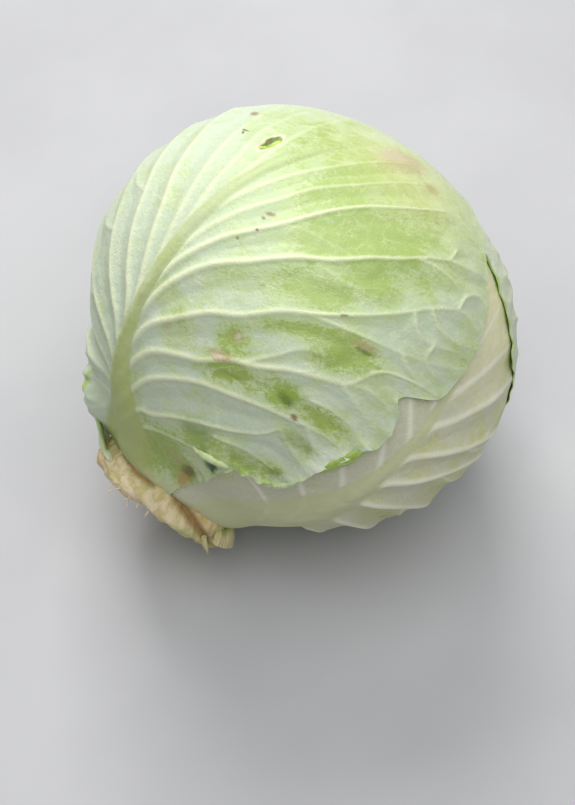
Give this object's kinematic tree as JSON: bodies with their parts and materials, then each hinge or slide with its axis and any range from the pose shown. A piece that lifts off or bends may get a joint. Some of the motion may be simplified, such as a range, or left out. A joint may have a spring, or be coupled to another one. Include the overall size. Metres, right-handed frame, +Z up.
{
  "type": "cabbage head",
  "caption": "Head of white cabbage lying on its side: wrapper leaves closed round a tight heart, with the cut stump and torn leaf bases at its foot.",
  "frame": {"origin": "middle of the small flat spot that the head rests on", "axes": "+Z up; the stem lies in the upright plane 43 degrees from +X, its crown end raised 33 degrees above level and its cut stump pointing to -X, -Y and down"},
  "size_m": [0.177, 0.1754, 0.1766],
  "materials": {
    "cut_stump": "dry cut stem, pale yellow and tan",
    "heart_leaf": "smooth pale green leaf",
    "waxy_leaf": "light green leaf under a whitish wax bloom, pale raised veins",
    "pale_leaf": "creamy pale green leaf, satin",
    "green_leaf": "fresh green leaf, satin",
    "torn_leaf": "torn and drying leaf base"
  },
  "bodies": {
    "root": {"stem_stump": "cut_stump", "tight_heart": "heart_leaf", "front_leaf": "waxy_leaf", "back_leaf": "waxy_leaf", "lower_leaf": "pale_leaf", "upper_leaf": "green_leaf", "rear_leaf": "pale_leaf", "left_leaf_stub": "torn_leaf", "lower_leaf_stub": "torn_leaf"}
  },
  "joints": []
}
